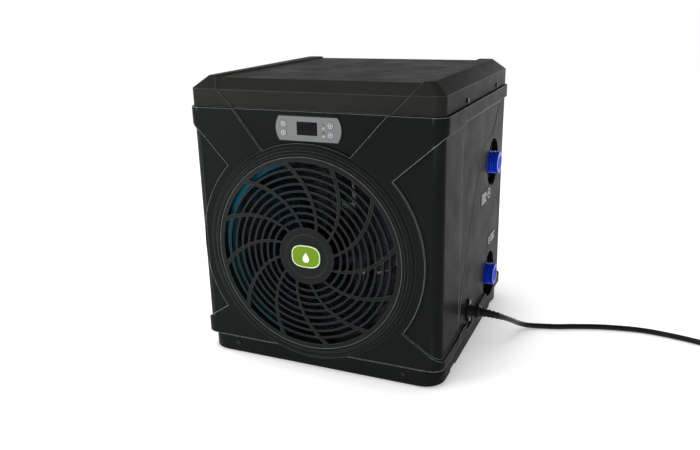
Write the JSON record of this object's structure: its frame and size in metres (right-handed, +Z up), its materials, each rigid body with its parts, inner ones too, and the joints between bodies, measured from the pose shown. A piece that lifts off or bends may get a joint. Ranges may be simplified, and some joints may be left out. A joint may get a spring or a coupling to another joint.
{
  "type": "pool heat pump unit",
  "caption": "Cube-shaped black pool heat pump with a round spiral front grille, small control panel, side hose ports and a mains cord.",
  "frame": {"origin": "on the floor under the middle of the cabinet, at the centre of the base tray's support pad", "axes": "+X to the right seen from the front, where the water ports leave; +Y to the back; +Z up"},
  "size_m": [0.9958, 0.4272, 0.4423],
  "materials": {
    "cabinet_black": "fine-textured satin",
    "lid_black": "fine-textured satin",
    "guard_black": "satin",
    "inner_plastic": "moulded satin",
    "fan_plastic": "satin",
    "gland_black": "satin",
    "rubber_black": "matte",
    "cord_black": "semi-gloss PVC",
    "tie_black": "satin",
    "screw_black": "blackened steel",
    "screw_steel": "zinc plated",
    "steel_bright": "turned",
    "galvanised": "galvanised spangle",
    "motor_paint": "semi-gloss",
    "compressor_paint": "gloss enamel",
    "copper": "drawn copper",
    "titanium": "titanium",
    "fin_blue": "hydrophilic blue coating",
    "port_blue": "moulded semi-gloss",
    "badge_green": "gloss",
    "panel_grey": "satin film",
    "display_black": "gloss",
    "button_grey": "satin",
    "indicator": "clear lens",
    "board_green": "solder mask",
    "capacitor_white": "satin",
    "terminal_cream": "satin",
    "label_film": "printed film"
  },
  "bodies": {
    "cabinet": {"base_tray": "cabinet_black", "rubber_feet": "rubber_black", "front_shell": "cabinet_black", "right_side_panel": "cabinet_black", "port_pockets": "cabinet_black", "left_side_panel": "cabinet_black", "rear_panel": "cabinet_black", "shell_screws": "screw_black", "top_lid": "lid_black", "lid_screws": "screw_black", "fan_guard": "guard_black", "guard_badge": "badge_green", "guard_screws": "screw_steel", "fan_motor": "motor_paint", "motor_bracket": "galvanised", "motor_bolts": "screw_steel", "fan_shroud": "guard_black", "evaporator_fins": "fin_blue", "evaporator_tubes": "copper", "evaporator_end_plates": "galvanised", "partition_plate": "galvanised", "compressor": "compressor_paint", "compressor_grommets": "rubber_black", "compressor_bolts": "screw_steel", "terminal_cover": "inner_plastic", "accumulator": "compressor_paint", "suction_pipe": "copper", "discharge_pipe": "copper", "liquid_pipe": "copper", "filter_drier": "copper", "capillary_tube": "copper", "heat_exchanger": "inner_plastic", "exchanger_coil": "titanium", "inlet_port": "port_blue", "outlet_port": "port_blue", "control_bezel": "panel_grey", "display_window": "display_black", "indicator_lights": "indicator", "control_board": "board_green", "electrical_box": "inner_plastic", "power_board": "board_green", "run_capacitor": "capacitor_white", "terminal_block": "terminal_cream", "cable_gland": "gland_black", "gland_nut": "gland_black", "gland_screws": "screw_steel", "port_labels": "label_film", "power_cord": "cord_black", "cord_coil": "cord_black", "coil_tie": "tie_black", "power_plug": "cord_black"},
    "fan": {"fan_rotor": "fan_plastic", "motor_shaft": "steel_bright", "fan_nut": "steel_bright"},
    "power_button": {"power_button": "button_grey"},
    "mode_button": {"mode_button": "button_grey"},
    "up_button": {"up_button": "button_grey"},
    "down_button": {"down_button": "button_grey"},
    "inlet_plug": {"inlet_plug": "port_blue"},
    "outlet_plug": {"outlet_plug": "port_blue"}
  },
  "joints": [
    {"name": "fan_spin", "type": "hinge", "parent": "cabinet", "child": "fan", "pos_m": [-0.007, -0.165, 0.1865], "axis": [0, -1, 0], "continuous": true},
    {"name": "power_button_press", "type": "slide", "parent": "cabinet", "child": "power_button", "axis": [0, 1, 0], "range_m": [0, 0.0005], "stiffness_N_per_m": 1500},
    {"name": "mode_button_press", "type": "slide", "parent": "cabinet", "child": "mode_button", "axis": [0, 1, 0], "range_m": [0, 0.0005], "stiffness_N_per_m": 1500},
    {"name": "up_button_press", "type": "slide", "parent": "cabinet", "child": "up_button", "axis": [0, 1, 0], "range_m": [0, 0.0005], "stiffness_N_per_m": 1500},
    {"name": "down_button_press", "type": "slide", "parent": "cabinet", "child": "down_button", "axis": [0, 1, 0], "range_m": [0, 0.0005], "stiffness_N_per_m": 1500},
    {"name": "inlet_plug_pull", "type": "slide", "parent": "cabinet", "child": "inlet_plug", "axis": [1, 0, 0], "range_m": [0, 0.04]},
    {"name": "outlet_plug_pull", "type": "slide", "parent": "cabinet", "child": "outlet_plug", "axis": [1, 0, 0], "range_m": [0, 0.04]}
  ]
}
